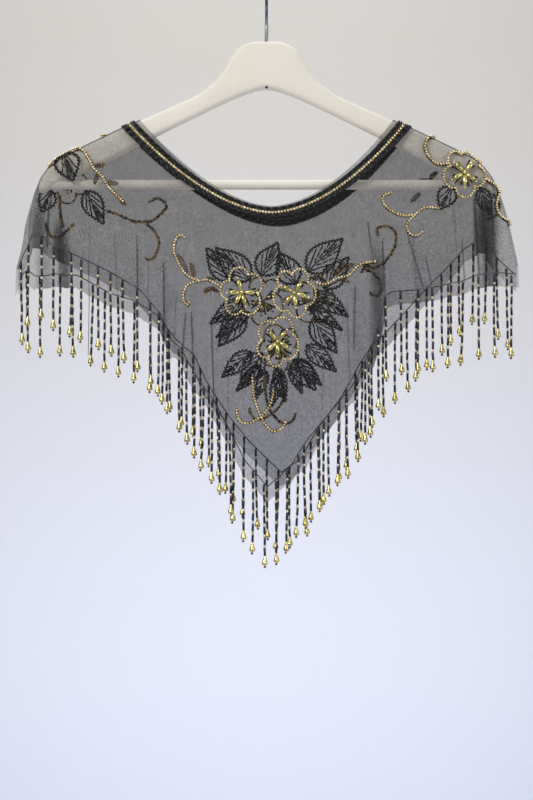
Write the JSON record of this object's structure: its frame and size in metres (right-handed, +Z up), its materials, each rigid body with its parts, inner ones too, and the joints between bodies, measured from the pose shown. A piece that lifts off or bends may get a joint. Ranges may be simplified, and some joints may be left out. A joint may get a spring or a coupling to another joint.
{
  "type": "beaded net cape on a clothes hanger",
  "caption": "Short cape of dark net with a beaded neck band, sewn flowers and a hanging bead fringe, draped on a wooden clothes hanger with a wire hook.",
  "frame": {"origin": "top of the inside of the hanger's hook, where a rail or a nail bears", "axes": "+X to the right of the front view, +Y to the back, +Z up"},
  "size_m": [0.4945, 0.0581, 0.5761],
  "materials": {
    "net": "fine black net, matte",
    "jet_beads": "black cut glass bugle beads, glossy",
    "gold_beads": "gold-coloured beads, satin",
    "cream_paint": "cream paint, semi-gloss, worn at the edges",
    "bar_paint": "cream paint, satin",
    "chrome_wire": "polished plated wire"
  },
  "bodies": {
    "root": {"hanger_wood": "cream_paint", "hanger_bar": "bar_paint", "hanger_hook": "chrome_wire", "net_front": "net", "net_back": "net", "neck_band_front": "jet_beads", "neck_band_back": "jet_beads", "fringe_front": "jet_beads", "fringe_back": "jet_beads", "flower_front_left": "gold_beads", "flower_front_right": "gold_beads", "flower_front_low": "gold_beads", "flower_shoulder_right": "gold_beads", "flower_back_left": "gold_beads", "flower_back_right": "gold_beads", "flower_back_low": "gold_beads", "flower_shoulder_left": "gold_beads", "leaf_front_1": "jet_beads", "leaf_front_2": "jet_beads", "leaf_front_3": "jet_beads", "leaf_front_4": "jet_beads", "leaf_front_5": "jet_beads", "leaf_front_6": "jet_beads", "leaf_front_7": "jet_beads", "leaf_front_8": "jet_beads", "leaf_front_9": "jet_beads", "leaf_front_10": "jet_beads", "leaf_front_11": "jet_beads", "leaf_front_12": "jet_beads", "leaf_front_13": "jet_beads", "leaf_back_1": "jet_beads", "leaf_back_2": "jet_beads", "leaf_back_3": "jet_beads", "leaf_back_4": "jet_beads", "leaf_back_5": "jet_beads", "leaf_back_6": "jet_beads", "leaf_back_7": "jet_beads", "leaf_back_8": "jet_beads", "leaf_back_9": "jet_beads", "leaf_back_10": "jet_beads", "leaf_back_11": "jet_beads", "leaf_back_12": "jet_beads", "leaf_back_13": "jet_beads"}
  },
  "joints": []
}
